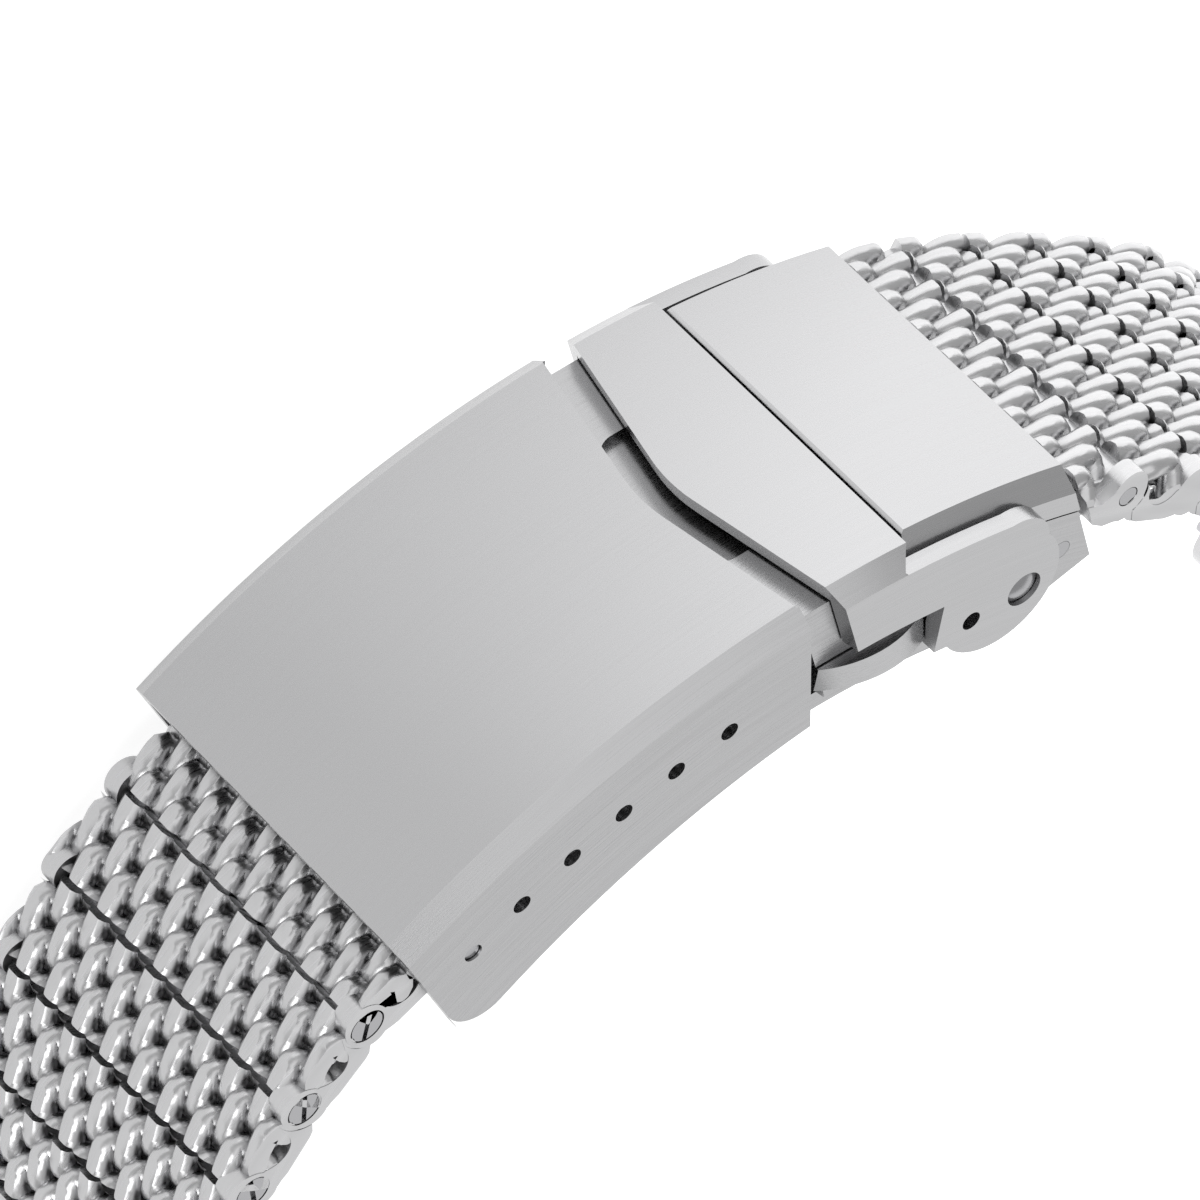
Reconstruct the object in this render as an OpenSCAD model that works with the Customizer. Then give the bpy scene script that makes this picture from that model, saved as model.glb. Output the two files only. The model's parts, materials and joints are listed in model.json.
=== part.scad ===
// Mesh watch band with an arched V clasp, closed, lying on its edge.
// X runs along the band over the clasp, Y points out of the wrist, Z runs across the band.
// The origin is on the edge that rests on the table, under the top of the arch.

/* [Clasp] */
// Width of the clasp across the band
clasp_w = 20; // [19:0.1:24]
// Radius of the arched top
arch_r = 45.7; // [44:0.1:50]
// Thickness of the cover's top plate
cover_top = 1; // [0.8:0.05:1.2]
// Thickness of the cover's side walls
cover_side = 0.9; // [0.7:0.05:1]
// Width of the bevel along the long edges
bevel_w = 1; // [0.6:0.05:1.2]
// Drop of the bevel along the long edges
bevel_d = 0.9; // [0.6:0.05:1]
// Angle from the top of the arch to the cover's open end
open_ang = 18; // [17.5:0.1:19]
// Lean of the open end away from upright
open_lean = 9.5; // [6:0.5:12]
// Angle from the top of the arch to the corners of the V end
v_ang = 12.1; // [11.8:0.1:12.3]
// How far the V is cut in
v_depth = 1.75; // [1:0.05:2]
// Radius at the point of the V
v_round = 8; // [4:0.5:10]
// Height of the cover at the top of the arch
cover_h = 8.2; // [8:0.05:8.5]
// Radius of the cover's lower edge
edge_r = 41.7; // [41:0.1:43]
// Offset of the lower edge's centre along the band
edge_x = 2.8; // [2:0.1:3.5]
// Radius of the lower corner at the open end
corner_r = 2; // [1:0.1:2.2]

/* [Adjustment holes] */
// Number of holes in each side wall
hole_count = 6; // [3:1:6]
// Distance between the holes
hole_pitch = 3.03; // [2.6:0.01:3.1]
// Diameter of a hole
hole_d = 0.95; // [0.94:0.01:1.1]
// Depth of the row of holes below the arch
hole_depth = 4.2; // [4.1:0.05:4.3]
// Angle from the top of the arch to the first hole
hole_ang = 15.2; // [15:0.1:15.5]

/* [Blades] */
// Thickness of the middle blade
middle_t = 1; // [0.8:0.05:1.1]
// Depth of the middle blade below the arch
middle_depth = 6.1; // [6.05:0.05:6.3]
// Thickness of the outer blade
outer_t = 1.1; // [0.9:0.05:1.2]
// Depth of the outer blade below the arch
outer_depth = 8; // [8:0.05:8.2]
// Gap between the middle blade and the bosses of the front hinge
middle_gap = 0.9; // [0.5:0.05:1.2]
// Inset of the outer blade from the sides of the housing
outer_inset = 0.6; // [0.4:0.05:1]
// Radius of the rolled knuckles
roll_r = 1.05; // [1:0.05:1.1]
// Diameter of the hinge pins
hinge_d = 1.2; // [1:0.05:1.3]
// Depth of the pin between cover and middle blade
front_pin_depth = 6.6; // [6.5:0.05:6.7]
// Angle of that pin from the top of the arch
front_pin_ang = 8.5; // [8:0.1:8.8]
// Length of the bosses that hold that pin
boss_len = 1.4; // [1.2:0.05:1.6]
// Depth of the pin between the blades
rear_pin_depth = 7.6; // [7.5:0.05:7.7]
// Angle of that pin from the top of the arch
rear_pin_ang = 12.5; // [12:0.1:12.8]
// Width of each side knuckle of the rear hinge
rear_side_w = 3.95; // [3.5:0.05:4.5]

/* [Button housing] */
// Depth of the ledge below the arch
ledge_depth = 1.15; // [1.1:0.05:1.3]
// Gap between the cover and the housing
seam_gap = 0.12; // [0.1:0.01:0.2]
// Gap between the housing and the lever's arms
arm_gap = 0.1; // [0.08:0.01:0.15]
// Angle where the housing meets the end block
housing_ang = 20.2; // [20:0.1:20.4]
// Width of the ledge beside its recess
recess_side = 4.5; // [3.5:0.1:6]
// Depth of the recess in the ledge
recess_d = 0.5; // [0.2:0.05:0.6]

/* [Push buttons] */
// Depth of a button's top face below the arch
button_depth = 5.4; // [5.3:0.05:5.5]
// Thickness of a button
button_t = 1.7; // [1.5:0.05:1.8]
// Length of the bulging edge along the band
button_len = 6; // [5:0.1:6.2]
// Bulge of a button beyond the housing
button_bulge = 0.9; // [0.7:0.05:0.9]
// Angle of a button's middle from the top of the arch
button_ang = 18.2; // [18:0.1:18.4]
// Travel of a button
button_travel = 0.8; // [0.5:0.05:0.9]
// Diameter of a button's stem
stem_d = 2; // [1.6:0.1:2.2]
// Reach of a button's wing inside the housing
wing_in = 1.6; // [1.4:0.05:1.8]
// Distance of a stem's end from the middle of the clasp
stem_gap = 2.7; // [2.4:0.05:3]

/* [Safety lever] */
// Thickness of the V plate
lever_t = 1; // [0.8:0.05:1]
// Thickness of the side arms
arm_t = 0.9; // [0.7:0.05:0.9]
// Angle of the lever's corners from the top of the arch
lever_ang = 14.3; // [14:0.1:14.6]
// How far the lever's V plate points forward
lever_v = 1.9; // [1.5:0.05:2]
// Depth of the lower edge of the arms
arm_depth = 4.4; // [4:0.05:4.6]
// Angle where the arm steps down to the ear
step_ang = 22.8; // [22.6:0.1:23.2]
// Radius of the ear
ear_r = 3.45; // [3.2:0.05:3.5]
// Radius of the ear's upper corner
ear_corner_r = 2.1; // [1.6:0.05:2.2]
// Radius of the lever's curved rear edge about its pivot
slit_r = 9.35; // [9.3:0.05:9.4]
// Gap between the lever's rear edge and the cap
slit_gap = 0.3; // [0.25:0.01:0.35]
// Depth of the pivot rivets below the arch
pivot_depth = 5.5; // [5.4:0.05:5.6]
// Angle of the pivot rivets from the top of the arch
pivot_ang = 30; // [29.8:0.1:30.2]
// Diameter of a rivet's shank
rivet_d = 1.2; // [1:0.05:1.3]
// Diameter of a rivet's head
rivet_head_d = 1.8; // [1.6:0.05:2]

/* [End block] */
// Thickness of the cap plate
cap_t = 2.6; // [2.2:0.05:2.7]
// Distance from the end of the cap to the first hinge of strand B
cap_to_hinge = 2.6; // [2.55:0.05:2.8]
// Width of the cap's side bevel
cap_bevel_w = 0.7; // [0.4:0.05:0.9]
// Drop of the cap's side bevel
cap_bevel_d = 1.4; // [1:0.05:1.6]
// Drop of the block's flat underside below strand B's pin
floor_drop = 1.95; // [1.85:0.05:2]
// Diameter of the blade pin and of the lever's access hole
blade_pin_d = 1; // [0.9:0.05:1.1]
// Depth of the blade pin below the arch
blade_pin_depth = 6.25; // [6.2:0.05:6.35]
// Angle of the blade pin from the top of the arch
blade_pin_ang = 25.7; // [25.6:0.1:25.9]
// Width of the block's lugs beside the blade's rear knuckle
lug_side_w = 5; // [4.5:0.1:6]
// Thickness of the block's ears
ear_wall = 1.3; // [1.1:0.05:1.4]

/* [Mesh strands] */
// Gap between the mesh and the cover's side walls
strand_gap = 0.2; // [0.15:0.01:0.4]
// Thickness over the coils
coil_t = 3.2; // [3:0.05:3.3]
// Length of one link along the band
link_len = 4.75; // [4.6:0.05:4.9]
// Thickness of the body between the coils
web_t = 2.8; // [2.4:0.05:2.9]
// Number of coil rings across the band
ring_count = 17; // [15:2:21]
// Gap between neighbouring rings
ring_gap = 0.1; // [0.08:0.01:0.14]
// Gap between a ring and the next link
turn_gap = 0.15; // [0.12:0.01:0.2]
// Diameter of the cross wires
wire_d = 1; // [0.8:0.05:1.1]
// Diameter of a screw's head
screw_head_d = 1.7; // [1.5:0.05:1.9]
// Length of a screw's head
screw_head_len = 0.6; // [0.4:0.05:0.7]
// Width of a screw's slot
slot_w = 0.26; // [0.2:0.01:0.35]
// Depth of strand A's first hinge below the arch
a_first_depth = 3.5; // [3.4:0.05:3.6]
// Angle of strand A's first hinge from the top of the arch
a_first_ang = 22.8; // [22.6:0.1:23]
// Heading of strand A where it leaves the clasp
a_start = 209; // [206:1:211]
// Turn of strand A from link to link
a_turn = 9.5; // [8:0.1:10]
// Depth of strand B's pin in the end block
b_pin_depth = 4.9; // [4.85:0.05:5]
// Angle of strand B's pin from the top of the arch
b_pin_ang = 34.2; // [34:0.1:34.4]
// Depth of strand B's first hinge below the arch
b_first_depth = 2.6; // [2.55:0.05:2.7]
// Angle of strand B's first hinge from the top of the arch
b_first_ang = 38.8; // [38.7:0.1:39]
// Fall of strand B where it leaves the clasp
b_start = 44; // [42:1:48]
// Turn of strand B from link to link, where it leaves the clasp
b_turn = 3; // [2:0.5:4]
// Number of links that turn so little
b_easy_links = 3; // [2:1:5]
// Turn of strand B from link to link, round the wrist
b_curl = 10; // [8:0.5:10]
// Slope of strand B's first link behind the cap
b_slope = 36; // [30:1:40]

/* [Spring bars] */
// Diameter of the adjustment bar's tube
adjust_tube_d = 1.6; // [1.5:0.05:1.7]
// Diameter of the lug bars' tubes
lug_tube_d = 1.8; // [1.6:0.05:1.9]
// Diameter of the bars' tips
tip_d = 0.84; // [0.8:0.01:0.86]
// How far the adjustment tips stay below the cover's side
tip_inset = 0.15; // [0.05:0.05:0.3]
// Distance from a lug end's hinge to its spring bar
lug_len = 3.6; // [3.4:0.05:4]

/* [Fits] */
// Radial clearance of pins in moving parts
run_fit = 0.05; // [0.04:0.005:0.08]
// Radial clearance of pins in fixed parts
seat_fit = 0.02; // [0.015:0.005:0.04]

/* [Hidden] */

$fn = 48;
fine = 192;
// Size of a cutter that reaches past everything, and how far a cut overshoots
far = 80;
past = 1;
steel = "#c9c9cb";
bright = "#dadadc";
mesh_steel = "#b4b4b6";
mid_z = clasp_w / 2;
arch_y = hole_depth - arch_r;

// Point at a depth below the arch and an angle from its top
function at(depth, ang) = [(arch_r - depth) * sin(ang), arch_y + (arch_r - depth) * cos(ang)];
function heading(ang) = [cos(ang), sin(ang)];

front_pin = at(front_pin_depth, front_pin_ang);
rear_pin = at(rear_pin_depth, -rear_pin_ang);
pivot = at(pivot_depth, pivot_ang);
blade_pin_at = at(blade_pin_depth, blade_pin_ang);
button_mid = at(button_depth + button_t / 2, button_ang);
stem_at = at(button_depth + button_t / 2, button_ang - 1);
v_side_x = at(0, v_ang)[0];
lever_side_x = at(0, lever_ang)[0];
seat_gap = 0.1;
housing_d = outer_depth - seat_gap;
body_z = arm_t + arm_gap;
body_w = clasp_w - 2 * body_z;
boss_r = roll_r;
blade_gap = 0.15;
pocket_gap = 0.1;

strand_z = cover_side + strand_gap;
strand_w = clasp_w - 2 * strand_z;
coil_r = coil_t / 2;
web_start = coil_r + turn_gap;
ring_w = strand_w / ring_count;
ring_bite = 0.1;
weld_in = 0.2;

// Hinge axes of strand A, from the adjustment bar outwards
a_bar = at(hole_depth, -hole_ang);
a_first = at(a_first_depth, -a_first_ang);
function a_heading(k) = a_start + a_turn * (k - 1);
function a_axis(k) = k <= 1 ? a_first : a_axis(k - 1) + link_len * heading(a_heading(k - 1));
a_bar_heading = atan2(a_first[1] - a_bar[1], a_first[0] - a_bar[0]);
a_bar_len = norm(a_first - a_bar);

// Hinge axes of strand B, from the end block outwards
b_pin_at = at(b_pin_depth, b_pin_ang);
b_first = at(b_first_depth, b_first_ang);
cap_end = b_first[0] - cap_to_hinge;
block_floor = b_pin_at[1] - floor_drop;
function b_heading(k) =
    -b_start - b_turn * min(k - 1, b_easy_links) - b_curl * max(k - 1 - b_easy_links, 0);
function b_axis(k) = k <= 1 ? b_first : b_axis(k - 1) + link_len * heading(b_heading(k - 1));
b_body_x = cap_end + 0.45;
b_lip = 1.1;
a_lug_axis = 11;
b_lug_axis = 10;

// Flat wedge between two angles from the top of the arch
module wedge(a0, a1) {
    polygon([[0, 0], far * [sin(a0), cos(a0)], far * [sin((a0 + a1) / 2), cos((a0 + a1) / 2)],
        far * [sin(a1), cos(a1)]]);
}

// Flat strip that follows the arch between two depths and two angles
module strip(d0, d1, a0, a1) {
    translate([0, arch_y]) intersection() {
        difference() {
            circle(r = arch_r - d0, $fn = fine);
            circle(r = arch_r - d1, $fn = fine);
        }
        wedge(a0, a1);
    }
}

// Strip with a height across the band
module slab(d0, d1, a0, a1, z0, z1) {
    translate([0, 0, z0]) linear_extrude(z1 - z0) strip(d0, d1, a0, a1);
}

// Section, with its radius along X, swept round the arch between two angles
module sweep(a0, a1) {
    translate([0, arch_y, 0]) rotate([0, 0, 90 - a1])
        rotate_extrude(angle = a1 - a0, $fn = fine) children();
}

// Round bar across the band
module bar(at_xy, r, z0, z1) {
    translate([at_xy[0], at_xy[1], z0]) cylinder(r = r, h = z1 - z0);
}

// Everything in front of a V that points towards the open end, seen from above
module v_front(side_x, depth, reach) {
    slope = atan(depth / mid_z);
    tip_x = side_x - depth + v_round / cos(slope);
    translate([0, far / 2, 0]) rotate([90, 0, 0]) linear_extrude(far)
        polygon(concat([[side_x + reach, -1], [side_x + 0.1 * depth, -1]],
            [for (t = [-slope : slope / 3 : slope + 0.01])
                [tip_x - v_round * cos(t), mid_z + v_round * sin(t)]],
            [[side_x + 0.1 * depth, clasp_w + 1], [side_x + reach, clasp_w + 1]]));
}

// Cover: arched channel with two side walls
lean_dir = [sin(open_lean), -cos(open_lean)];
lean_in = [cos(open_lean), sin(open_lean)];
edge_c = [edge_x, hole_depth - cover_h - edge_r];
lean_top = at(0, -open_ang) + corner_r * lean_in - edge_c;
lean_fall = -(lean_top * lean_dir)
    - sqrt(pow(lean_top * lean_dir, 2) - lean_top * lean_top + pow(edge_r + corner_r, 2));
corner_c = edge_c + lean_top + lean_fall * lean_dir;
corner_out = (corner_c - edge_c) / norm(corner_c - edge_c);
hole_step = hole_pitch / (arch_r - hole_depth) * 180 / PI;

module cover_section() {
    low = arch_r - cover_h - 3;
    roof = arch_r - cover_top;
    polygon([[low, 0], [arch_r - bevel_d, 0], [arch_r, bevel_w], [arch_r, clasp_w - bevel_w],
        [arch_r - bevel_d, clasp_w], [low, clasp_w], [low, clasp_w - cover_side],
        [roof, clasp_w - cover_side], [roof, cover_side], [low, cover_side]]);
}

module cover_corner() {
    difference() {
        polygon([corner_c, corner_c - corner_r * lean_in,
            corner_c - corner_r * lean_in + 3 * lean_dir,
            corner_c - 3 * corner_out + 3 * lean_dir, corner_c - (corner_r + 1) * corner_out]);
        translate(corner_c) circle(r = corner_r);
    }
}

module cover() {
    color(steel) difference() {
        union() {
            sweep(-open_ang - 3, v_ang) cover_section();
            bar(front_pin, boss_r, cover_side / 2, cover_side + boss_len);
            bar(front_pin, boss_r, clasp_w - cover_side - boss_len, clasp_w - cover_side / 2);
        }
        translate([edge_c[0], edge_c[1], -1]) cylinder(r = edge_r, h = clasp_w + 2, $fn = fine);
        translate([at(0, -open_ang)[0], at(0, -open_ang)[1], -1]) rotate([0, 0, open_lean])
            translate([-10, -20, 0]) cube([10, 30, clasp_w + 2]);
        translate([0, 0, -1]) linear_extrude(clasp_w + 2) cover_corner();
        intersection() {
            v_front(v_side_x, v_depth, 5);
            translate([0, hole_depth - 4, cover_side]) cube([20, 10, clasp_w - 2 * cover_side]);
        }
        for (i = [0 : hole_count - 1])
            bar(at(hole_depth, -hole_ang + i * hole_step), hole_d / 2, -1, clasp_w + 1);
        bar(front_pin, hinge_d / 2 + seat_fit, cover_side, clasp_w - cover_side);
    }
}

module cover_hinge_pin() {
    color(steel) bar(front_pin, hinge_d / 2, cover_side + 0.1, clasp_w - cover_side - 0.1);
}

// Blades that fold under the cover
middle_z = cover_side + boss_len + middle_gap;
outer_z = body_z + outer_inset;
rear_roll_z = middle_z + rear_side_w;
blade_roll_z = body_z + lug_side_w;
knuckle_r = blade_pin_d / 2 + 1;

module middle_blade() {
    color(steel) difference() {
        union() {
            slab(middle_depth, middle_depth + middle_t, -rear_pin_ang, front_pin_ang,
                middle_z, clasp_w - middle_z);
            bar(front_pin, roll_r, middle_z, clasp_w - middle_z);
            bar(rear_pin, roll_r, middle_z, clasp_w - middle_z);
        }
        bar(front_pin, hinge_d / 2 + run_fit, 0, clasp_w);
        bar(rear_pin, hinge_d / 2 + seat_fit, 0, clasp_w);
        bar(rear_pin, roll_r + blade_gap, rear_roll_z - blade_gap,
            clasp_w - rear_roll_z + blade_gap);
        translate([rear_pin[0] - 3, rear_pin[1], rear_roll_z - blade_gap])
            cube([3, 3, clasp_w - 2 * (rear_roll_z - blade_gap)]);
    }
}

module blade_hinge_pin() {
    color(steel) bar(rear_pin, hinge_d / 2, middle_z, clasp_w - middle_z);
}

module outer_blade() {
    tail_ang = 1.8;
    lug_ang = 1.6;
    color(steel) difference() {
        union() {
            difference() {
                slab(outer_depth, outer_depth + outer_t, -rear_pin_ang, blade_pin_ang + tail_ang,
                    outer_z, clasp_w - outer_z);
                bar(rear_pin, roll_r + blade_gap, 0, rear_roll_z);
                bar(rear_pin, roll_r + blade_gap, clasp_w - rear_roll_z, clasp_w);
            }
            bar(rear_pin, roll_r, rear_roll_z, clasp_w - rear_roll_z);
            bar(blade_pin_at, knuckle_r, blade_roll_z, clasp_w - blade_roll_z);
            slab(blade_pin_depth, outer_depth + outer_t / 2, blade_pin_ang - lug_ang,
                blade_pin_ang + lug_ang, blade_roll_z, clasp_w - blade_roll_z);
        }
        bar(rear_pin, hinge_d / 2 + run_fit, 0, clasp_w);
        bar(blade_pin_at, blade_pin_d / 2 + seat_fit, 0, clasp_w);
    }
}

// Button housing: stepped ledge that fills the V, with a bore for the buttons
wing_ang = 4.5;
front_ang = 8;

module button_pocket() {
    reach = body_z + wing_in + button_travel + pocket_gap;
    from_ang = v_ang - past;
    to_ang = button_ang + wing_ang + 0.4;
    upper = button_depth - pocket_gap;
    lower = button_depth + button_t + pocket_gap;
    slab(upper, lower, from_ang, to_ang, -past, reach);
    slab(upper, lower, from_ang, to_ang, clasp_w - reach, clasp_w + past);
}

module ledge_recess() {
    r = 1.2;
    start = v_side_x - v_depth + 0.45;
    low = body_z + recess_side;
    high = clasp_w - low;
    translate([0, hole_depth + past, 0]) rotate([90, 0, 0]) linear_extrude(far) {
        translate([start + r, low + r]) circle(r = r);
        translate([start + r, high - r]) circle(r = r);
        translate([start, low + r]) square([far, high - low - 2 * r]);
        translate([start + r, low]) square([far, high - low]);
    }
}

module button_housing() {
    color(steel) difference() {
        intersection() {
            slab(ledge_depth, housing_d, front_ang, housing_ang - joint_ang,
                body_z, clasp_w - body_z);
            v_front(v_side_x + seam_gap, v_depth, far);
        }
        intersection() {
            ledge_recess();
            slab(0, ledge_depth + recess_d, front_ang, housing_ang + past, 0, clasp_w);
        }
        button_pocket();
        bar(stem_at, stem_d / 2 + run_fit, 0, clasp_w);
    }
}

// Push buttons: a lens-shaped wing on a stem, one on each side
lens_r = (pow(button_len / 2, 2) + pow(button_bulge, 2)) / (2 * button_bulge);

face_z = clasp_w - body_z;

module push_button() {
    color(bright) {
        intersection() {
            slab(button_depth, button_depth + button_t, button_ang - wing_ang,
                button_ang + wing_ang, face_z - wing_in, clasp_w);
            translate([button_mid[0], arch_y, face_z + button_bulge - lens_r]) rotate([-90, 0, 0])
                cylinder(r = lens_r, h = far, $fn = 96);
        }
        bar(stem_at, stem_d / 2, mid_z + stem_gap, face_z - wing_in + 0.1);
    }
}

module button_near() { push_button(); }
module button_far() { translate([0, 0, clasp_w]) mirror([0, 0, 1]) push_button(); }

// Closed coils of a hidden spring, as a thin sleeve of their outer size
module spring_sleeve(at_xy, r, wire, len) {
    difference() {
        bar(at_xy, r, mid_z - len / 2, mid_z + len / 2);
        bar(at_xy, r - wire, mid_z - len, mid_z + len);
    }
}

module button_spring() {
    wire = 0.25;
    room = 2 * (stem_gap - button_travel - seat_gap);
    color(mesh_steel) spring_sleeve(stem_at, stem_d / 2 - run_fit, wire, room);
}

// End block: carries the cap, the lever and strand B
joint_ang = 0.1;
cap_joint = 0.08;
block_ang = 40;
eye_gap = 0.25;
eye_room = 0.45;
rivet_in = 1.9;
pin_inset = 0.3;

module end_block() {
    roll_z = blade_roll_z - blade_gap;
    slot_x = knuckle_r + 2 * blade_gap;
    ear_z = body_z + ear_wall;
    color(steel) difference() {
        intersection() {
            slab(cap_t + cap_joint, housing_d, housing_ang, block_ang,
                body_z, clasp_w - body_z);
            translate([0, block_floor, 0]) cube([cap_end - seat_gap, far, clasp_w]);
        }
        button_pocket();
        bar(b_pin_at, coil_r + eye_gap, ear_z, clasp_w - ear_z);
        translate([b_pin_at[0] - eye_gap, b_pin_at[1] - far, ear_z])
            cube([far, far + b_first[1] - b_pin_at[1] + web_t / 2 + eye_room,
                clasp_w - 2 * ear_z]);
        bar(b_pin_at, wire_d / 2 + seat_fit, 0, clasp_w);
        bar(blade_pin_at, knuckle_r + blade_gap, roll_z, clasp_w - roll_z);
        translate([blade_pin_at[0] - slot_x, blade_pin_at[1] - far, roll_z])
            cube([2 * slot_x, far, clasp_w - 2 * roll_z]);
        bar(blade_pin_at, blade_pin_d / 2 + seat_fit, 0, clasp_w);
        bar(pivot, rivet_d / 2 + seat_fit, -past, body_z + rivet_in + seat_gap);
        bar(pivot, rivet_d / 2 + seat_fit, clasp_w - body_z - rivet_in - seat_gap,
            clasp_w + past);
    }
}

module cap_section() {
    low = arch_r - cap_t;
    polygon([[low, body_z], [arch_r - cap_bevel_d, body_z], [arch_r, body_z + cap_bevel_w],
        [arch_r, clasp_w - body_z - cap_bevel_w], [arch_r - cap_bevel_d, clasp_w - body_z],
        [low, clasp_w - body_z]]);
}

module block_cap() {
    color(bright) intersection() {
        sweep(housing_ang, block_ang) cap_section();
        bar(pivot, slit_r - slit_gap, 0, clasp_w);
        translate([0, -far, 0]) cube([cap_end, 2 * far, clasp_w]);
    }
}

module blade_pin() {
    end_z = body_z + pin_inset;
    color(steel) bar(blade_pin_at, blade_pin_d / 2, end_z, clasp_w - end_z);
}

module strand_b_pin() {
    color(steel) bar(b_pin_at, wire_d / 2, body_z, clasp_w - body_z);
}

// Safety lever: bent V plate with two side arms
edge_in = 0.3;
ear_ang = pivot_ang - 2.1;
ear_low = 2.9;
ear_lift = 0.45;
head_seat = 0.35;

module lever_section() {
    low = arch_r - lever_t;
    polygon([[low, edge_in], [arch_r - bevel_d, 0], [arch_r, bevel_w],
        [arch_r, clasp_w - bevel_w], [arch_r - bevel_d, clasp_w], [low, clasp_w - edge_in]]);
}

module lever_arm() {
    left = at(arm_depth, lever_ang + edge_in);
    round_r = 0.6;
    difference() {
        union() {
            strip(bevel_d, arm_depth, lever_ang, ear_ang);
            strip(bevel_d, arm_depth + ear_low, step_ang, ear_ang);
            translate(at(bevel_d + ear_corner_r - 0.1, ear_ang)) circle(r = ear_corner_r);
            translate(at(pivot_depth - ear_lift, ear_ang - 0.2)) circle(r = ear_r);
        }
        translate(left - [1.5, 1]) difference() {
            square([1.5 + round_r, 1 + round_r]);
            translate([1.5 + round_r, 1 + round_r]) circle(r = round_r);
        }
        translate(pivot) circle(r = rivet_d / 2 + run_fit);
        translate(blade_pin_at) circle(r = blade_pin_d / 2);
    }
}

module safety_lever() {
    color(bright) difference() {
        union() {
            difference() {
                sweep(front_ang, housing_ang + past) lever_section();
                bar(pivot, slit_r, -past, clasp_w + past);
            }
            linear_extrude(arm_t) lever_arm();
            translate([0, 0, clasp_w - arm_t]) linear_extrude(arm_t) lever_arm();
        }
        difference() {
            translate([0, -far / 2, -past]) cube([lever_side_x + past, far, clasp_w + 2 * past]);
            v_front(lever_side_x, lever_v, far);
        }
        bar(pivot, rivet_head_d / 2 + run_fit, -past, head_seat);
        bar(pivot, rivet_head_d / 2 + run_fit, clasp_w - head_seat, clasp_w + past);
    }
}

module lever_rivet() {
    dome_r = 1.6;
    color(bright) {
        bar(pivot, rivet_d / 2, clasp_w - body_z - rivet_in, clasp_w - head_seat + seat_gap);
        intersection() {
            bar(pivot, rivet_head_d / 2, clasp_w - head_seat + run_fit, clasp_w);
            translate([pivot[0], pivot[1], clasp_w - dome_r]) sphere(r = dome_r);
        }
    }
}

module lever_rivets() {
    lever_rivet();
    translate([0, 0, clasp_w]) mirror([0, 0, 1]) lever_rivet();
}

// Mesh links: coil rings that turn on cross wires, ring by ring between their neighbours
module ring_row(parity) {
    for (i = [parity : 2 : ring_count - 1])
        translate([0, 0, strand_z + i * ring_w + ring_gap / 2])
            linear_extrude(ring_w - ring_gap) children();
}

module lead_ring() {
    circle(r = coil_r);
    translate([0, -web_t / 2]) square([web_start + ring_bite, web_t]);
}

module trail_ring(len) {
    translate([len, 0]) circle(r = coil_r);
    translate([len - web_start - ring_bite, -web_t / 2]) square([web_start + ring_bite, web_t]);
}

module link_body(len) {
    ring_row(1) lead_ring();
    ring_row(0) trail_ring(len);
    translate([web_start, -web_t / 2, strand_z]) cube([len - 2 * web_start, web_t, strand_w]);
}

module place(axis_at, ang) {
    translate([axis_at[0], axis_at[1], 0]) rotate([0, 0, ang]) children();
}

// Removable link with a screw at its outer end
module screw_seat(len) {
    bar([len, 0], wire_d / 2 + seat_fit, 0, clasp_w);
    bar([len, 0], screw_head_d / 2 + seat_fit, clasp_w - strand_z - screw_head_len - run_fit,
        clasp_w);
}

module removable_link() {
    difference() {
        link_body(link_len);
        bar([0, 0], wire_d / 2 + run_fit, 0, clasp_w);
        screw_seat(link_len);
    }
}

// Mesh segment with its outer cross wire welded in
module mesh_segment() {
    difference() {
        union() {
            link_body(link_len);
            bar([link_len, 0], wire_d / 2, strand_z + weld_in, clasp_w - strand_z - weld_in);
        }
        bar([0, 0], wire_d / 2 + run_fit, 0, clasp_w);
    }
}

slot_ang = 35;

module link_screw() {
    top = clasp_w - strand_z;
    difference() {
        union() {
            bar([0, 0], wire_d / 2, strand_z, top - screw_head_len / 2);
            bar([0, 0], screw_head_d / 2, top - screw_head_len, top);
        }
        translate([-screw_head_d, -slot_w / 2, top - screw_head_len / 2])
            cube([2 * screw_head_d, slot_w, past]);
    }
}

module a_link(k) { color(mesh_steel) place(a_axis(k), a_heading(k)) removable_link(); }
module a_mesh(k) { color(mesh_steel) place(a_axis(k + 4), a_heading(k + 4)) mesh_segment(); }
module a_screw(k) { color(bright) place(a_axis(k), a_heading(k) + slot_ang) link_screw(); }
module b_mesh(k) { color(mesh_steel) place(b_axis(k), b_heading(k)) mesh_segment(); }

// First link of strand A, on the adjustment bar
module a_link_0() {
    color(mesh_steel) place(a_bar, a_bar_heading) difference() {
        union() {
            bar([0, 0], coil_r, strand_z, clasp_w - strand_z);
            ring_row(0) trail_ring(a_bar_len);
            translate([0, -web_t / 2, strand_z])
                cube([a_bar_len - web_start, web_t, strand_w]);
        }
        bar([0, 0], adjust_tube_d / 2 + run_fit, 0, clasp_w);
        screw_seat(a_bar_len);
    }
}

// First link of strand B: a wedge behind the cap, held between the ears of the end block
module b_wedge(low) {
    difference() {
        intersection() {
            translate([b_body_x, low]) square([b_first[0] - b_body_x, far]);
            translate(b_first) rotate(-b_slope) translate([-far - b_lip, coil_r - far])
                square([far, far]);
        }
        translate(b_first) circle(r = web_start);
    }
}

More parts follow.
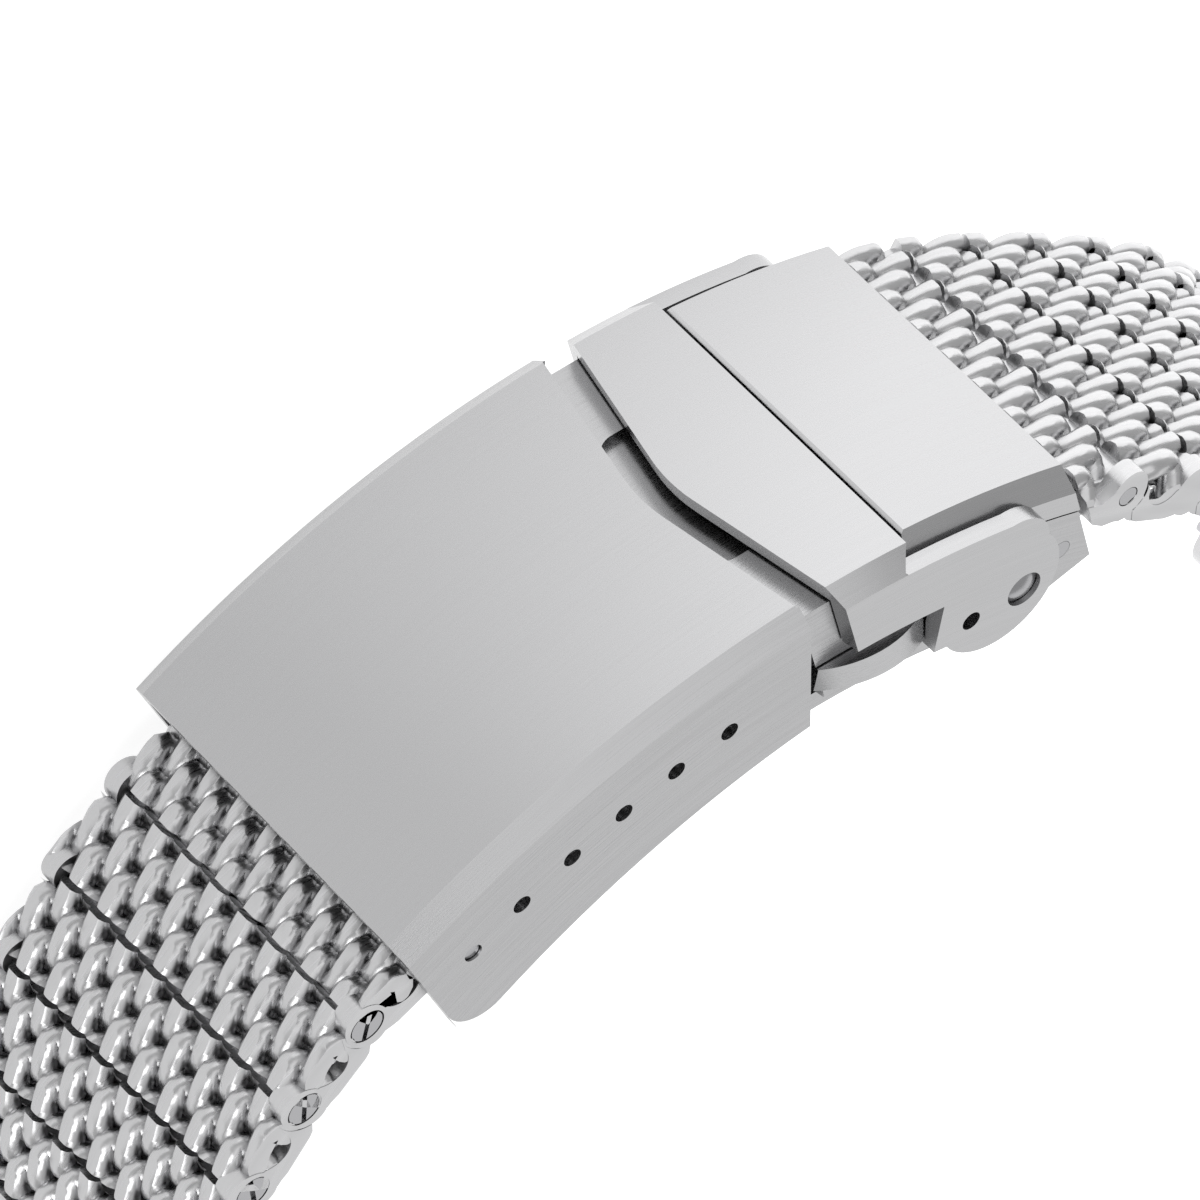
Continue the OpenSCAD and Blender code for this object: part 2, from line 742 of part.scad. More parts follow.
module b_link_0() {
    eye_z = body_z + ear_wall + blade_gap;
    body_low = b_first[1] - web_t / 2;
    color(mesh_steel) difference() {
        union() {
            bar(b_pin_at, coil_r - seat_gap, eye_z, clasp_w - eye_z);
            translate([b_pin_at[0], body_low, eye_z])
                cube([b_first[0] - web_start - b_pin_at[0], web_t, clasp_w - 2 * eye_z]);
            translate([0, 0, strand_z]) linear_extrude(strand_w) b_wedge(body_low);
            place(b_first, 0) ring_row(0) {
                circle(r = coil_r);
                translate([b_body_x - b_first[0], -web_t / 2])
                    square([b_first[0] - b_body_x, web_t]);
            }
        }
        bar(b_pin_at, wire_d / 2 + run_fit, 0, clasp_w);
        bar(b_first, wire_d / 2 + seat_fit, 0, clasp_w);
    }
}

module b_pin_1() {
    color(bright) bar(b_first, wire_d / 2, strand_z, clasp_w - strand_z);
}

// Lug end: the last bar of a strand, bored for its spring bar
module lug_end() {
    difference() {
        union() {
            ring_row(1) lead_ring();
            translate([web_start, -web_t / 2, strand_z])
                cube([lug_len - web_start, web_t, strand_w]);
            bar([lug_len, 0], coil_r, strand_z, clasp_w - strand_z);
        }
        bar([0, 0], wire_d / 2 + run_fit, 0, clasp_w);
        bar([lug_len, 0], lug_tube_d / 2 + run_fit, 0, clasp_w);
    }
}

// Spring bar: crimped tube, two sprung tips and the spring between them
tube_wall = 0.16;
collar_step = 0.1;
crimp = 0.4;
function collar_r(d) = d / 2 - tube_wall - run_fit;

module bar_tube(d, len) {
    difference() {
        bar([0, 0], d / 2, mid_z - len / 2, mid_z + len / 2);
        bar([0, 0], collar_r(d) - collar_step + run_fit, 0, clasp_w);
        bar([0, 0], collar_r(d) + run_fit, mid_z - len / 2 + crimp, mid_z + len / 2 - crimp);
    }
}

module bar_tip(d, len, reach) {
    shoulder = mid_z + len / 2 - crimp - run_fit;
    bar([0, 0], tip_d / 2, shoulder, reach);
    bar([0, 0], collar_r(d) - collar_step, shoulder - collar_len, mid_z + len / 2);
    bar([0, 0], collar_r(d), shoulder - collar_len, shoulder);
}

module bar_spring(d, len) {
    spring_sleeve([0, 0], collar_r(d), spring_wire, len - 2 * crimp - spring_room);
}

adjust_tube_len = strand_w;
lug_tube_len = strand_w - seat_gap;
spring_wire = 0.15;
spring_room = 5;
collar_len = 1;
a_lug_at = a_axis(a_lug_axis) + lug_len * heading(a_heading(a_lug_axis));
b_lug_at = b_axis(b_lug_axis) + lug_len * heading(b_heading(b_lug_axis));

module flipped() { translate([0, 0, clasp_w]) mirror([0, 0, 1]) children(); }

module adjust_bar_tube() { color(steel) place(a_bar, 0) bar_tube(adjust_tube_d, adjust_tube_len); }
module adjust_tip() {
    color(bright) place(a_bar, 0) bar_tip(adjust_tube_d, adjust_tube_len, clasp_w - tip_inset);
}
module adjust_bar_spring() {
    color(mesh_steel) place(a_bar, 0) bar_spring(adjust_tube_d, adjust_tube_len);
}
module lug_tube(at_xy) { color(steel) place(at_xy, 0) bar_tube(lug_tube_d, lug_tube_len); }
module lug_tip(at_xy) { color(bright) place(at_xy, 0) bar_tip(lug_tube_d, lug_tube_len, clasp_w); }
module lug_spring(at_xy) { color(mesh_steel) place(at_xy, 0) bar_spring(lug_tube_d, lug_tube_len); }

module a_lug_end() {
    color(mesh_steel) place(a_axis(a_lug_axis), a_heading(a_lug_axis)) lug_end();
}

module b_lug_end() {
    color(mesh_steel) place(b_axis(b_lug_axis), b_heading(b_lug_axis)) lug_end();
}

cover();
cover_hinge_pin();
middle_blade();
blade_hinge_pin();
outer_blade();
button_housing();
button_near();
button_far();
button_spring();
end_block();
block_cap();
blade_pin();
safety_lever();
lever_rivets();
strand_b_pin();
adjust_bar_tube();
adjust_tip();  // adjust_bar_tip_near
flipped() adjust_tip();  // adjust_bar_tip_far
adjust_bar_spring();
a_link_0();
a_link(1);  // a_link_1
a_link(2);  // a_link_2
a_link(3);  // a_link_3
a_link(4);  // a_link_4
a_screw(1);  // a_screw_1
a_screw(2);  // a_screw_2
a_screw(3);  // a_screw_3
a_screw(4);  // a_screw_4
a_screw(5);  // a_screw_5
a_mesh(1);  // a_mesh_1
a_mesh(2);  // a_mesh_2
a_mesh(3);  // a_mesh_3
a_mesh(4);  // a_mesh_4
a_mesh(5);  // a_mesh_5
a_mesh(6);  // a_mesh_6
a_lug_end();
lug_tube(a_lug_at);  // a_lug_tube
lug_tip(a_lug_at);  // a_lug_tip_near
flipped() lug_tip(a_lug_at);  // a_lug_tip_far
lug_spring(a_lug_at);  // a_lug_spring
b_link_0();
b_pin_1();
b_mesh(1);  // b_mesh_1
b_mesh(2);  // b_mesh_2
b_mesh(3);  // b_mesh_3
b_mesh(4);  // b_mesh_4
b_mesh(5);  // b_mesh_5
b_mesh(6);  // b_mesh_6
b_mesh(7);  // b_mesh_7
b_mesh(8);  // b_mesh_8
b_mesh(9);  // b_mesh_9
b_lug_end();
lug_tube(b_lug_at);  // b_lug_tube
lug_tip(b_lug_at);  // b_lug_tip_near
flipped() lug_tip(b_lug_at);  // b_lug_tip_far
lug_spring(b_lug_at);  // b_lug_spring
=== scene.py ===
# Mesh watch band with an arched V clasp, lying on its edge.
# X runs along the band over the clasp, Y points out of the wrist, Z runs across the band.
import json
import math
import bmesh
import bpy
from mathutils import Matrix, Vector


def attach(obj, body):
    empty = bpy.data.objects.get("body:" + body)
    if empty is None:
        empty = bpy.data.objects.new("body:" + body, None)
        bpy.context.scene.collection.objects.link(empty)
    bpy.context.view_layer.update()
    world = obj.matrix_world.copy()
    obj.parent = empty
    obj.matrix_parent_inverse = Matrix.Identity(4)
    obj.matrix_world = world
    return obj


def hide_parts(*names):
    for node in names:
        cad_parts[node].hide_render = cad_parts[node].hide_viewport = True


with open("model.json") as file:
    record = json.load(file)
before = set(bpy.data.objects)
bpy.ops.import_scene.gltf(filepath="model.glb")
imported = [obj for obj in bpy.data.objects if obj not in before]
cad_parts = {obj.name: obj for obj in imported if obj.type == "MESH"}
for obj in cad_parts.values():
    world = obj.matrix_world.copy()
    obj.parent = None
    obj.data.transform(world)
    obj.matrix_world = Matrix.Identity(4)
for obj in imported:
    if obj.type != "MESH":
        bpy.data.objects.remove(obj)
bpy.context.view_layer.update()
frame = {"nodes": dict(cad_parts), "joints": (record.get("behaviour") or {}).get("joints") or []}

# Studio: a white sheet that glows by itself, under a grey tent with three soft boxes. The glow is
# painted light that washes out the band's shadow on the sheet.
# Steel has hardly a colour of its own, so its greys are the sheet and the tent seen in it. The sheet's
# glow is painted stronger on the side of the safety lever, which paints a graded reflection on the
# arch.
MM = 0.001
scene = bpy.context.scene
scene.view_settings.view_transform = "Standard"


def linear(hex_colour):
    """sRGB hex to the linear colour that a shader takes."""
    def channel(c):
        return c / 12.92 if c <= 0.04045 else ((c + 0.055) / 1.055) ** 2.4
    return tuple(channel(int(hex_colour[i:i + 2], 16) / 255) for i in (0, 2, 4)) + (1.0,)


def add_node(tree, kind, settings=None, inputs=None):
    """Adds a shader node; inputs are constants or the sockets that feed it."""
    node = tree.nodes.new(kind)
    for name, value in (settings or {}).items():
        setattr(node, name, value)
    for name, value in (inputs or {}).items():
        if isinstance(value, bpy.types.NodeSocket):
            tree.links.new(value, node.inputs[name])
        else:
            node.inputs[name].default_value = value
    return node


def new_material(name, base, roughness, metallic=1.0):
    """Plain material in one colour; gives it with its node tree and its shader."""
    material = bpy.data.materials.new(name)
    material.use_nodes = True
    shader = material.node_tree.nodes["Principled BSDF"]
    shader.inputs["Base Color"].default_value = linear(base)
    shader.inputs["Roughness"].default_value = roughness
    shader.inputs["Metallic"].default_value = metallic
    return material, material.node_tree, shader


# Painted light: the floor glows by itself, so no shadow shows on it.
glowing_floor_white, tree, glow = new_material("glowing_floor_painted_light", "8C8C8C", 0.9, metallic=0.0)
glow.inputs["Emission Color"].default_value = linear("FFFFFF")
across_x = add_node(tree, "ShaderNodeSeparateXYZ", inputs={
    "Vector": add_node(tree, "ShaderNodeTexCoord").outputs["Object"]}).outputs["X"]
# Painted reflection: the glow grows towards +X, so the arch reflects a painted gradient.
painted_glow_grade = add_node(tree, "ShaderNodeMapRange", inputs={
    "Value": across_x, "From Min": -12 * MM, "From Max": 38 * MM, "To Min": 0.85, "To Max": 1.55})
tree.links.new(painted_glow_grade.outputs[0], glow.inputs["Emission Strength"])
half = 0.9  # metres, half a side of the sheet
table_mesh = bpy.data.meshes.new("table_top")
table_mesh.from_pydata([(-half, -half, 0), (half, -half, 0), (half, half, 0), (-half, half, 0)],
                       [], [(0, 1, 2, 3)])
table_mesh.materials.append(glowing_floor_white)
table_top = bpy.data.objects.new("table_top", table_mesh)
scene.collection.objects.link(table_top)

tent = bpy.data.worlds.new("soft_tent")
tent.use_nodes = True
tent.node_tree.nodes["Background"].inputs["Color"].default_value = linear("FFFFFF")
tent.node_tree.nodes["Background"].inputs["Strength"].default_value = 0.6
scene.world = tent


def soft_box(name, place, aim, size, watts):
    """Rectangular area light; its place, its aim and its size are in metres."""
    lamp = bpy.data.lights.new(name, "AREA")
    lamp.shape = "RECTANGLE"
    lamp.size, lamp.size_y = size
    lamp.energy = watts
    holder = bpy.data.objects.new(name, lamp)
    holder.location = place
    holder.rotation_euler = (Vector(aim) - Vector(place)).to_track_quat("-Z", "Y").to_euler()
    scene.collection.objects.link(holder)


soft_box("overhead_box", (0.10, 0.28, 0.50), (0.0, 0.0, 0.0), (0.6, 0.6), 0.8)
soft_box("left_box", (-0.42, 0.16, 0.36), (0.0, 0.0, 0.0), (0.45, 0.30), 1.3)
soft_box("side_box", (0.15, -0.55, 0.33), (0.0, 0.0, 0.01), (0.7, 0.35), 0.45)

# Camera: a long lens on the outer side of the clasp, rolled so that the band crosses the
# frame from lower left to upper right, as in the photograph. It looks through the clasp at a
# point of the sheet inside the band.
LENS = 321.7
AIM = Vector((8.83, -18.03, -0.07)) * MM
DISTANCE = 500 * MM
azimuth, elevation, roll = (math.radians(angle) for angle in (104.337, 29.992, 134.484))
camera_data = bpy.data.cameras.new("camera")
camera_data.sensor_fit = "HORIZONTAL"
camera_data.sensor_width = 36
camera_data.lens = LENS
camera_data.clip_start = 0.01
back = Vector((math.cos(elevation) * math.cos(azimuth), math.cos(elevation) * math.sin(azimuth),
               math.sin(elevation)))
right = Matrix.Rotation(roll, 3, back) @ Vector((0, 0, 1)).cross(back).normalized()
camera = bpy.data.objects.new("camera", camera_data)
camera.matrix_world = Matrix.Translation(AIM + DISTANCE * back) @ Matrix(
    (right, back.cross(right), back)).transposed().to_4x4()
scene.collection.objects.link(camera)
scene.camera = camera

# Clasp plates: cover, button housing, blades and end block. Stamped and milled 316L steel,
# finished on a belt along the band, so fine hairlines follow the arch and blur what the
# surface reflects across them.
ARCH_CENTRE_Y = -41.5 * MM
HAIRLINE_ANGLE = 1 / 5.5  # radians, 8 mm along the arch
HAIRLINE_WIDTH = 0.06 * MM


def brushed_steel(name, base, roughness, depth, streaks=0.10):
    """Steel with hairlines that follow the arch: they are long along it and fine across it.
    One unit of the noise is one hairline. depth is in millimetres, and streaks is how much
    the roughness differs between hairlines."""
    material, tree, shader = new_material(name, base, roughness)
    place = add_node(tree, "ShaderNodeTexCoord")
    parts = add_node(tree, "ShaderNodeSeparateXYZ", inputs={"Vector": place.outputs["Object"]})
    height = add_node(tree, "ShaderNodeMath", {"operation": "SUBTRACT"},
                      {0: parts.outputs["Y"], 1: ARCH_CENTRE_Y}).outputs[0]
    angle = add_node(tree, "ShaderNodeMath", {"operation": "ARCTAN2"},
                     {0: parts.outputs["X"], 1: height}).outputs[0]
    flat = add_node(tree, "ShaderNodeCombineXYZ", inputs={"X": parts.outputs["X"], "Y": height})
    radius = add_node(tree, "ShaderNodeVectorMath", {"operation": "LENGTH"},
                      {0: flat.outputs[0]}).outputs["Value"]
    along, deep, wide = (
        add_node(tree, "ShaderNodeMath", {"operation": "MULTIPLY"}, {0: value, 1: 1 / unit}).outputs[0]
        for value, unit in ((angle, HAIRLINE_ANGLE), (radius, HAIRLINE_WIDTH),
                            (parts.outputs["Z"], HAIRLINE_WIDTH)))
    grain_at = add_node(tree, "ShaderNodeCombineXYZ", inputs={"X": along, "Y": deep, "Z": wide})
    hairlines = add_node(tree, "ShaderNodeTexNoise", {"noise_dimensions": "3D"},
                         {"Vector": grain_at.outputs[0], "Scale": 1.0, "Detail": 3.0,
                          "Roughness": 0.6}).outputs["Fac"]
    rough = add_node(tree, "ShaderNodeMapRange", inputs={
        "Value": hairlines, "From Min": 0.3, "From Max": 0.7,
        "To Min": roughness - streaks / 2, "To Max": roughness + streaks / 2}).outputs[0]
    tree.links.new(rough, shader.inputs["Roughness"])
    relief = add_node(tree, "ShaderNodeBump", inputs={
        "Strength": 1.0, "Distance": depth * MM, "Height": hairlines}).outputs[0]
    tree.links.new(relief, shader.inputs["Normal"])
    return material


def dress(node, material):
    """Gives a CAD piece its finish."""
    slots = frame["nodes"][node].data.materials
    slots.clear()
    slots.append(material)


belt_finish = brushed_steel("belt_brushed_316l_steel", "ACACAD", 0.28, 0.007, streaks=0.14)
for node in ("cover", "button_housing", "outer_blade", "middle_blade", "end_block"):
    dress(node, belt_finish)

# Safety lever, cap and push buttons: the same steel, bent and milled, with a finer belt
# finish. Its shallow hairlines leave it brighter and smoother than the cover.
fine_finish = brushed_steel("fine_brushed_316l_steel", "B0B0B1", 0.26, 0.003)
for node in ("safety_lever", "block_cap", "button_near", "button_far"):
    dress(node, fine_finish)

# Mesh: each link is a block of flattened wire coils, hooked row into row, of 1.24 mm 316L
# wire. The block is pressed, and the crowns are ground flat on a belt. Each side is closed by
# a flat wavy band that ends in an eye round the next cross wire. A link is drawn in
# millimetres: along it from its inner hinge, outwards from the hinge line, and across.
MESH_SIDE = 1.1  # from the side of the clasp to the side of the mesh
MESH_W = 17.8
LINK = 4.75
WIRE_R = 0.62
CROWN = 1.5  # from the hinge line to the ground face
GAP_HALF = 0.1
BAND_T = 0.95
LEAN = 0.4  # from a coil's middle to its crown, towards the clasp


def coil_row(mesh, centre, first_crown, turns, pitch, lean, reach, rise):
    """One flattened coil across the band. reach and rise are its half length and half height,
    and its crowns lean towards the clasp by lean. swing keeps crown and belly nearly straight,
    so that the wire steps sideways at its ends."""
    steps, sides = 24, 12  # points in a turn, and corners round the wire
    squareness, swing = 0.7, 2.2
    nudge = 0.004  # part of a turn that gives the wire's direction

    def soft(value):
        return math.copysign(abs(value) ** squareness, value)

    def point(turn):
        angle = math.pi - 2 * math.pi * turn
        high = soft(math.sin(angle))
        from_crown = turn - 0.25
        step = from_crown - swing / (4 * math.pi) * math.sin(4 * math.pi * from_crown)
        return Vector((centre + reach * soft(math.cos(angle)) - lean * high, rise * high,
                       first_crown + pitch * step))

    first, last = turns
    rings = []
    for i in range(round((last - first) * steps) + 1):
        turn = first + i / steps
        ahead = point(turn + nudge) - point(turn - nudge)
        outward = Vector((-ahead.y, ahead.x, 0.0)).normalized()
        ahead.normalize()
        outward = (outward - ahead * outward.dot(ahead)).normalized()
        across = ahead.cross(outward)
        rings.append([mesh.verts.new(point(turn) + WIRE_R * (
            math.cos(2 * math.pi * j / sides) * outward
            + math.sin(2 * math.pi * j / sides) * across)) for j in range(sides)])
    for back_ring, front_ring in zip(rings, rings[1:]):
        for j in range(sides):
            mesh.faces.new((back_ring[j], back_ring[j - 1], front_ring[j - 1], front_ring[j]))
    mesh.faces.new(rings[0])
    mesh.faces.new(reversed(rings[-1]))


def trim(mesh, place, outward):
    """Grinds or cuts off what lies beyond a plane and closes the cut wires."""
    cut = bmesh.ops.bisect_plane(mesh, geom=mesh.verts[:] + mesh.edges[:] + mesh.faces[:],
                                 dist=1e-5, plane_co=place, plane_no=outward, clear_outer=True)
    edges = [e for e in cut["geom_cut"] if isinstance(e, bmesh.types.BMEdge)]
    bmesh.ops.edgeloop_fill(mesh, edges=edges)


def arc(centre, radii, start, end, steps=16):
    """Points of an elliptic arc, in degrees."""
    angles = [math.radians(start + (end - start) * i / steps) for i in range(steps + 1)]
    return [(centre[0] + radii[0] * math.cos(a), centre[1] + radii[1] * math.sin(a))
            for a in angles]


def circle(centre, radius, corners=48):
    """Points of a whole circle."""
    return arc(centre, (radius, radius), 0, 360 - 360 / corners, corners - 1)


def flat_piece(mesh, loops, low, high):
    """Plate between two distances across the band; loops are its outline and its holes."""
    edges = []
    for loop in loops:
        ring = [mesh.verts.new((s, n, low)) for s, n in loop]
        edges += [mesh.edges.new((ring[i - 1], ring[i])) for i in range(len(ring))]
    faces = [f for f in bmesh.ops.triangle_fill(mesh, edges=edges, use_beauty=True)["geom"]
             if isinstance(f, bmesh.types.BMFace)]
    raised = bmesh.ops.extrude_face_region(mesh, geom=faces)["geom"]
    moved = [v for v in raised if isinstance(v, bmesh.types.BMVert)]
    bmesh.ops.translate(mesh, verts=moved, vec=(0, 0, high - low))


def coil_block(rows, pitch, lean, start, end, slopes=(0,), reach=1.12, rise=1.0):
    """Coils between two cuts across the band, ground on both faces and flush at both sides.
    A row is its coil's middle along the link, its first crown across the band, and the turns
    before and after that crown. slopes are the outer cuts' angles: over 0 shortens the crown,
    and under 0 the belly. The cross wires welded inside the coils are one flat bar here, since
    little of them shows."""
    mesh = bmesh.new()
    for centre, first_crown, turns in rows:
        coil_row(mesh, centre, first_crown, turns, pitch, lean, reach, rise)
    for place, outward in (((0, CROWN, 0), (0, 1, 0)), ((0, -CROWN, 0), (0, -1, 0)),
                           ((0, 0, MESH_W), (0, 0, 1)), ((0, 0, 0), (0, 0, -1)),
                           ((start, 0, 0), (-1, 0, 0))):
        trim(mesh, place, outward)
    for slope in slopes:
        tilt = math.radians(slope)
        trim(mesh, (end, 0, 0), (math.cos(tilt), math.sin(tilt), 0))
    inset, thick = 0.2, 0.35
    flat_piece(mesh, [[(start + inset, -thick), (end - inset, -thick), (end - inset, thick),
                       (start + inset, thick)]], BAND_T, MESH_W - BAND_T)
    return mesh


def edge_bands(mesh, length, holes, eye_tops=(CROWN, CROWN), cradle_top=1.6):
    """Flat band along each side: a cradle round the inner eye, a bowed bar and the outer
    eye, with a hole for the cross wire's head where there is one."""
    cradle = arc((0, 0), (1.25, cradle_top), 40, -47)
    foot = [(1.25, -1.5), (1.6, -1.58), (length - 1.15, -1.58), (length - 0.7, -1.48)]
    hollow = arc((length - 2.25, 0.55), (1.1, 1.25), -25, -165)
    sides = ((-0.02, BAND_T), (MESH_W - BAND_T, MESH_W + 0.02))
    for hole, top, (low, high) in zip(holes, eye_tops, sides):
        eye = arc((length, 0), (1.15, CROWN), -112, 0) + arc((length, 0), (1.15, top), 4, 176)
        loops = [cradle + foot + eye + hollow]
        if hole:
            loops.append(circle((length, 0), hole))
        flat_piece(mesh, loops, low, high)


# Ground wire is satin: broad greys on the crowns and soft lights on the flanks. Its belt
# scratches are 5 mm long and 0.08 mm wide, which is one unit of the noise.
mesh_steel, tree, shader = new_material("ground_mesh_316l_steel", "BCBCBD", 0.3)
stretch = add_node(tree, "ShaderNodeVectorMath", {"operation": "MULTIPLY"}, {
    0: add_node(tree, "ShaderNodeTexCoord").outputs["Object"], 1: (0.2, 1.0, 12.0)})
scratches = add_node(tree, "ShaderNodeTexNoise", inputs={
    "Vector": stretch.outputs[0], "Scale": 1.0, "Detail": 2.0}).outputs["Fac"]
uneven = add_node(tree, "ShaderNodeMapRange", inputs={
    "Value": scratches, "From Min": 0.3, "From Max": 0.7, "To Min": 0.24, "To Max": 0.38})
tree.links.new(uneven.outputs[0], shader.inputs["Roughness"])
relief = add_node(tree, "ShaderNodeBump", inputs={
    "Strength": 1.0, "Distance": 0.003 * MM, "Height": scratches})
tree.links.new(relief.outputs[0], shader.inputs["Normal"])


def finished(name, mesh):
    """Closes a link's mesh: smooth wires with crisp ground edges."""
    data = bpy.data.meshes.new(name)
    bmesh.ops.recalc_face_normals(mesh, faces=mesh.faces[:])
    mesh.to_mesh(data)
    mesh.free()
    data.materials.append(mesh_steel)
    data.shade_smooth()
    data.set_sharp_from_angle(angle=math.radians(32))
    return data


axis_at = {joint["child"]: Vector(joint["pos_m"]) for joint in frame["joints"]
           if joint["type"] == "hinge"}


def place_link(data, link, axis, along, outer_sign, whole=True):
    """Puts a link's mesh on a hinge axis. It lies outwards on strand A with its width counted
    from the near side (-1), and on strand B with its width counted from the far side (+1).
    A whole link takes the place of its solid, and any other mesh only rides on it."""
    along = Vector((along.x, along.y, 0)).normalized()
    outward = Vector((-along.y, along.x, 0)) * outer_sign
    origin = axis.copy()
    origin.z = (MESH_SIDE + (MESH_W if outer_sign < 0 else 0)) * MM
    piece = bpy.data.objects.new(link + "_mesh", data)
    piece.matrix_world = Matrix.Translation(origin) @ Matrix(
        (along, outward, Vector((0, 0, outer_sign)))).transposed().to_4x4() @ Matrix.Scale(MM, 4)
    scene.collection.objects.link(piece)
    if whole:
        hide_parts(link)
    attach(piece, link)


# First link of strand A, under the end of the cover: a block of coils, packed closer than in
# the other links, with a bored eye for the spring bar that sits in the adjustment holes. Its
# outer end is cut steeply, because the strand bends most there.
PITCH_A = 2.094
SCREW_HOLES = (0.93, 0.6)  # round the screw's head, and round its end
BAR_BORE = 0.85
first = axis_at["a_link_1"] - axis_at["a_link_0"]
first_length = Vector((first.x, first.y)).length / MM
a_first_rows = [(1.5, 0.25, (-1, 9)), (3.0, 1.30, (0, 7.6)), (4.5, 0.25, (-1, 9)),
                (6.0, 1.30, (0, 7.6))]
block = coil_block(a_first_rows, PITCH_A, LEAN, 1.0, first_length - GAP_HALF, slopes=(-14,))
edge_bands(block, first_length, SCREW_HOLES)
flat_piece(block, [circle((0, 0), CROWN), circle((0, 0), BAR_BORE)], 0, MESH_W)
place_link(finished("first_link_a", block), "a_link_0", axis_at["a_link_0"], first, -1)

# Strand A: four removable links on slotted screws, then the long mesh on welded cross wires.
# The ground crowns are long ovals that lean one way, and a dark line shows between links.
strand_a = ["a_link_1", "a_link_2", "a_link_3", "a_link_4", "a_mesh_1", "a_mesh_2", "a_mesh_3",
            "a_mesh_4", "a_mesh_5", "a_mesh_6", "a_lug_end"]
a_rows = [(-0.86, 2.34, (0, 6.6)), (0.89, 1.30, (0, 7.6)), (2.61, 0.25, (-1, 9)),
          (4.38, 1.30, (-1, 9)), (6.13, 0.25, (-1, 9))]
block = coil_block(a_rows, PITCH_A, LEAN, GAP_HALF, LINK - GAP_HALF, slopes=(-3, -9))
edge_bands(block, LINK, SCREW_HOLES)
link_mesh = finished("mesh_link_a", block)
for link, beyond in zip(strand_a, strand_a[1:]):
    place_link(link_mesh, link, axis_at[link], axis_at[beyond] - axis_at[link], -1)

# First link of strand B, behind the cap: a short block of coils that slopes down from the
# cap. Its tongue goes between the ears of the end block and turns on the pin there.
PITCH_B = 2.225
ROUND = dict(reach=1.22, rise=0.93)
SLOPE = math.radians(36)
CAP_FACE = 2.15  # from the outer pin back to the cap
TONGUE_SIDE = 2.5
TONGUE_R = 1.45
TONGUE_LENGTH = 2.3
TONGUE_HALF = 1.3
PIN_HOLE = 0.55
slope_along = Vector((math.cos(SLOPE), -math.sin(SLOPE), 0))
to_pin = (axis_at["b_link_0"] - axis_at["b_mesh_1"]) / MM
pin_s = to_pin.x * math.cos(SLOPE) - to_pin.y * math.sin(SLOPE)
pin_n = to_pin.x * math.sin(SLOPE) + to_pin.y * math.cos(SLOPE)
b_first_rows = [(-3.82, 1.23, (-1, 9)), (-2.23, 2.34, (-1, 6.6)), (-0.65, 3.45, (-1, 5.6))]
block = coil_block(b_first_rows, PITCH_B, -LEAN, -3.6, -GAP_HALF, **ROUND)
trim(block, (-CAP_FACE / math.cos(SLOPE), 0, 0), (-math.cos(SLOPE), -math.sin(SLOPE), 0))
for low, high, eye_r in ((0.2, BAND_T, 1.05), (MESH_W - BAND_T, MESH_W + 0.02, 1.45)):
    eye_plate = (arc((0, 0), (1.1, eye_r), -105, 165)
                 + [(-1.6, -0.1), (-2.55, -0.1), (-1.75, -1.25), (-1.0, -1.5)])
    flat_piece(block, [eye_plate, circle((0, 0), PIN_HOLE, 24)], low, high)
flat_piece(block, [circle((0, 0), 0.8), circle((0, 0), PIN_HOLE, 24)], BAND_T, MESH_W - BAND_T)
level = Vector((math.cos(SLOPE), math.sin(SLOPE)))
square = Vector((level.y, -level.x))
pin = Vector((pin_s, pin_n))
tongue = arc(pin, (TONGUE_R, TONGUE_R), math.degrees(SLOPE) + 90, math.degrees(SLOPE) + 270, 24)
tongue += [tuple(pin + TONGUE_LENGTH * level + side * TONGUE_HALF * square) for side in (1, -1)]
flat_piece(block, [tongue, circle(pin, PIN_HOLE, 24)],
           TONGUE_SIDE - MESH_SIDE, MESH_W + MESH_SIDE - TONGUE_SIDE)
place_link(finished("first_link_b", block), "b_link_0", axis_at["b_mesh_1"], slope_along, 1)

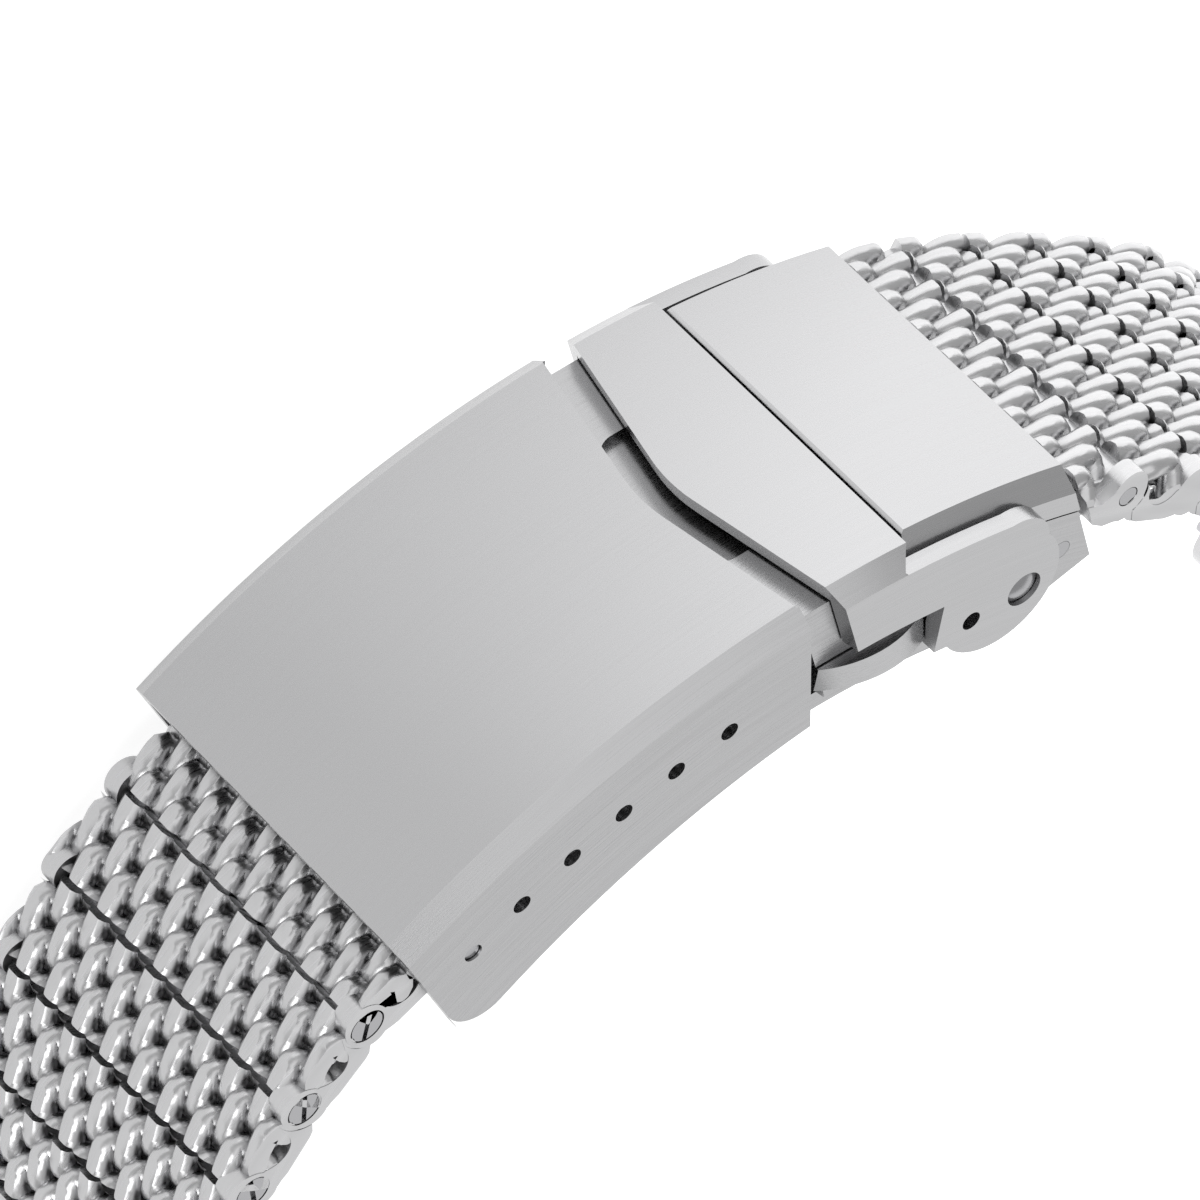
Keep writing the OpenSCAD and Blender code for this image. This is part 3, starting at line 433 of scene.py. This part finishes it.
# Strand B: the same mesh on hidden cross wires, with a slightly wider coil of 2.225 mm, so
# its ovals are rounder. It is wound the other way round, because it leaves the other end.
strand_b = [f"b_mesh_{i}" for i in range(1, 10)] + ["b_lug_end"]
b_rows = [(-1.1, 3.45, (-1, 5.6)), (0.37, 2.34, (-1, 6.6)), (2.14, 1.23, (-1, 9)),
          (3.86, 2.34, (-1, 6.6)), (5.6, 1.23, (-1, 9))]
block = coil_block(b_rows, PITCH_B, -LEAN, GAP_HALF, LINK - GAP_HALF, slopes=(0, -9), **ROUND)
edge_bands(block, LINK, (0, 0), eye_tops=(0.8, 1.3), cradle_top=1.1)
link_mesh = finished("mesh_link_b", block)
for link, beyond in zip(strand_b, strand_b[1:]):
    place_link(link_mesh, link, axis_at[link], axis_at[beyond] - axis_at[link], 1)

# Lug ends, the last bar of each strand: solid steel, bored for a spring bar and finished on
# the belt. A last row of coils is hooked over the fingers of the bar.
BAR_FACE = 2.05
LAST_ROW = (0.89, 1.25, (-1, 9))
for strand, pitch, lean, outer_sign in (("a", PITCH_A, LEAN, -1), ("b", PITCH_B, -LEAN, 1)):
    lug = f"{strand}_lug_end"
    dress(lug, belt_finish)
    tube = frame["nodes"][f"{strand}_lug_tube"]
    bar = sum((tube.matrix_world @ Vector(corner) for corner in tube.bound_box), Vector()) / 8
    coil = coil_block([LAST_ROW], pitch, lean, GAP_HALF, BAR_FACE)
    place_link(finished(f"last_coil_{strand}", coil), lug, axis_at[lug], bar - axis_at[lug],
               outer_sign, whole=False)

# Screws, pins, rivets and the tubes and tips of the spring bars: turned from bar and left
# bright, so they show small sharp lights and no grain.
turned_steel = new_material("turned_316l_steel", "A2A2A4", 0.25)[0]
turned_nodes = ["cover_hinge_pin", "blade_hinge_pin", "blade_pin", "lever_rivets",
                "strand_b_pin", "b_pin_1"]
turned_nodes += [f"a_screw_{i}" for i in range(1, 6)]
turned_nodes += [f"{bar}_{part}" for bar in ("adjust_bar", "a_lug", "b_lug")
                 for part in ("tube", "tip_near", "tip_far")]
for node in turned_nodes:
    dress(node, turned_steel)

# Springs of the buttons and of the three spring bars, hidden in their bores. Hard-drawn wire
# keeps a grey skin from the die, so they are darker and duller than the rest.
drawn_wire = new_material("hard_drawn_spring_wire", "8C8C8E", 0.35)[0]
for node in ("button_spring", "adjust_bar_spring", "a_lug_spring", "b_lug_spring"):
    dress(node, drawn_wire)
